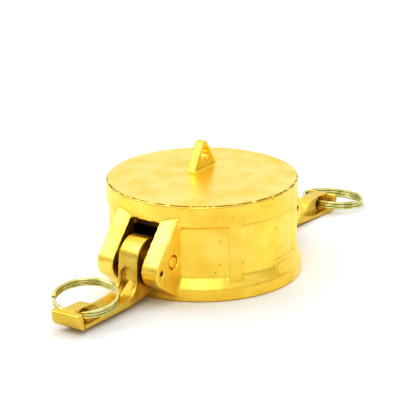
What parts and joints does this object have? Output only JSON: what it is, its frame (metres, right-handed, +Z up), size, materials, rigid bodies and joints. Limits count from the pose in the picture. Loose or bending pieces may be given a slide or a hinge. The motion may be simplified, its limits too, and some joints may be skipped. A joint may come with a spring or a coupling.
{
  "type": "camlock dust cap",
  "caption": "Forged brass dust cap of a cam-and-groove hose coupling, with hinged cam arms, pull rings, a chain lug and a gasket under its closed top.",
  "frame": {"origin": "centre of the mouth, in the plane of the rim that the cap stands on", "axes": "+Z up from the mouth to the closed top, +X along the arm that lies to the right, +Y along the pivot pins, away from a viewer who has that arm on the right"},
  "size_m": [0.2725, 0.1094, 0.0698],
  "materials": {
    "body_brass": "satin forged, with a machined top",
    "arm_brass": "satin forged",
    "pin_brass": "turned, satin",
    "ring_steel": "bright wire",
    "gasket_rubber": "matt moulded"
  },
  "bodies": {
    "cap": {"cap_body": "body_brass", "gasket": "gasket_rubber", "pivot_pin_left": "pin_brass", "pivot_pin_right": "pin_brass"},
    "left_arm": {"cam_arm_left": "arm_brass"},
    "right_arm": {"cam_arm_right": "arm_brass"},
    "left_ring": {"pull_ring_left": "ring_steel"},
    "right_ring": {"pull_ring_right": "ring_steel"}
  },
  "joints": [
    {"name": "left_arm_hinge", "type": "hinge", "parent": "cap", "child": "left_arm", "pos_m": [-0.0544, -0.0004, 0.0236], "axis": [0, 1, 0], "range_deg": [-16, 98]},
    {"name": "right_arm_hinge", "type": "hinge", "parent": "cap", "child": "right_arm", "pos_m": [0.0544, 0.0004, 0.0236], "axis": [0, -1, 0], "range_deg": [-14, 100]},
    {"name": "left_ring_swing", "type": "hinge", "parent": "left_arm", "child": "left_ring", "pos_m": [-0.11356, -0.0004, 0.00846], "axis": [0.3744, -0.9272, -0.0131], "range_deg": [-6, 92]},
    {"name": "right_ring_swing", "type": "hinge", "parent": "right_arm", "child": "right_ring", "pos_m": [0.113, 0.0004, 0.0064], "axis": [-0.1045, -0.9945, 0], "range_deg": [-154, 180]}
  ]
}
